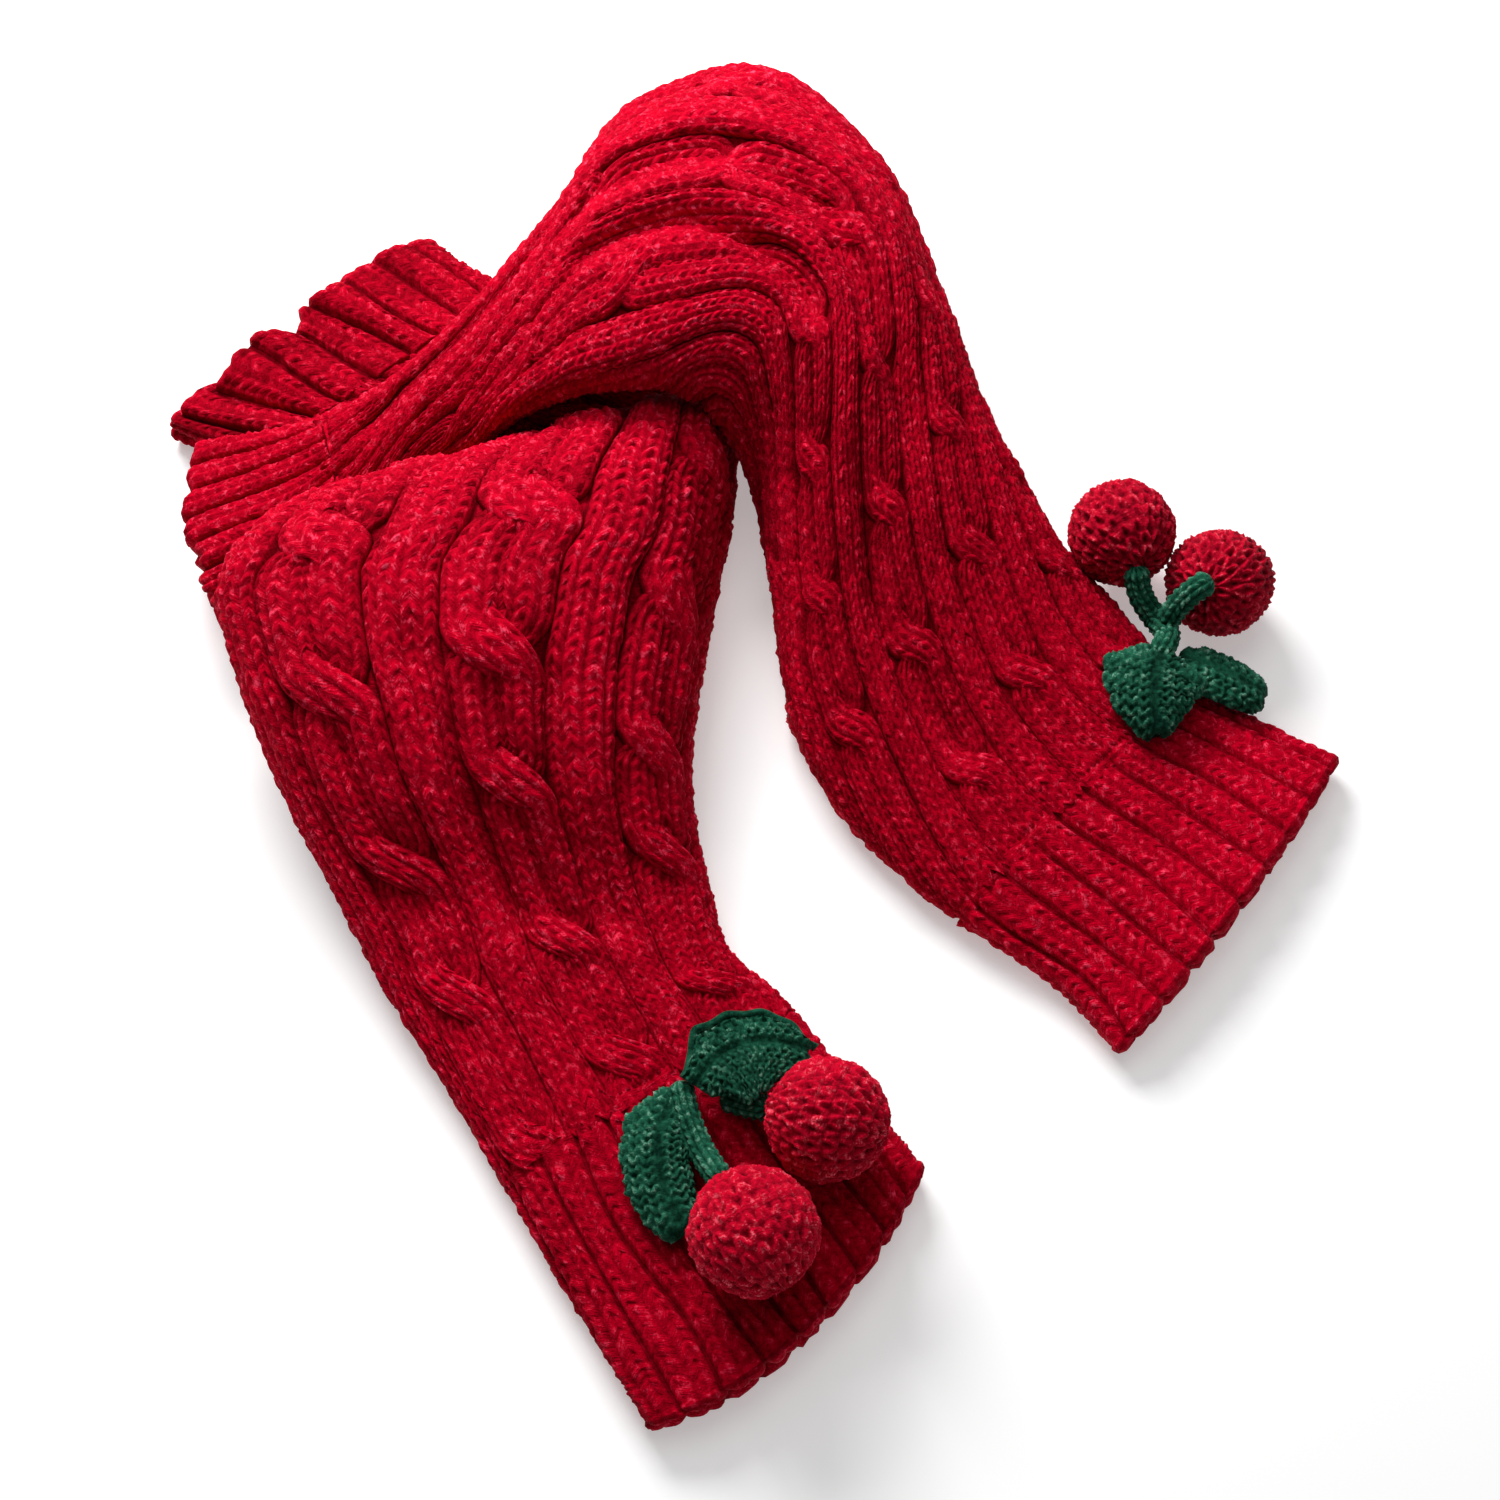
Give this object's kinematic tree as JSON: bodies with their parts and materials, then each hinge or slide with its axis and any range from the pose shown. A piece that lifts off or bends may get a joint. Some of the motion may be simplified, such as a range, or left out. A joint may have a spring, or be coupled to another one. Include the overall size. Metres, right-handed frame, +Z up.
{
  "type": "pair of leg warmers",
  "caption": "Pair of chunky cable-knit leg warmers with ribbed cuffs and crocheted cherries on green stems, lying loosely across each other.",
  "frame": {"origin": "on the surface that the pair lies on, under the middle of its bounding box", "axes": "+Z up from that surface; +Y from the front leg warmer's lower cuff towards the arch of the crossing one; +X towards the crossing leg warmer's lower cuff"},
  "size_m": [0.3542, 0.4284, 0.0734],
  "materials": {
    "red_yarn": "brushed chunky wool-blend yarn",
    "cherry_yarn": "crocheted yarn",
    "green_yarn": "crocheted and corded yarn"
  },
  "bodies": {
    "root": {"crossing_lower_cuff": "red_yarn", "crossing_leg_lower": "red_yarn", "crossing_leg_middle": "red_yarn", "crossing_leg_upper": "red_yarn", "crossing_upper_cuff": "red_yarn", "front_lower_cuff": "red_yarn", "front_leg_lower": "red_yarn", "front_leg_middle": "red_yarn", "front_leg_upper": "red_yarn", "front_upper_cuff": "red_yarn", "crossing_cherry_near_leg": "cherry_yarn", "crossing_cherry_far": "cherry_yarn", "front_cherry_upper": "cherry_yarn", "front_cherry_lower": "cherry_yarn", "crossing_stem_trunk": "green_yarn", "crossing_stem_branch": "green_yarn", "front_stem_lower": "green_yarn", "front_stem_upper": "green_yarn", "crossing_leaf_front": "green_yarn", "crossing_leaf_back": "green_yarn", "front_leaf_upper": "green_yarn", "front_leaf_lower": "green_yarn"}
  },
  "joints": []
}
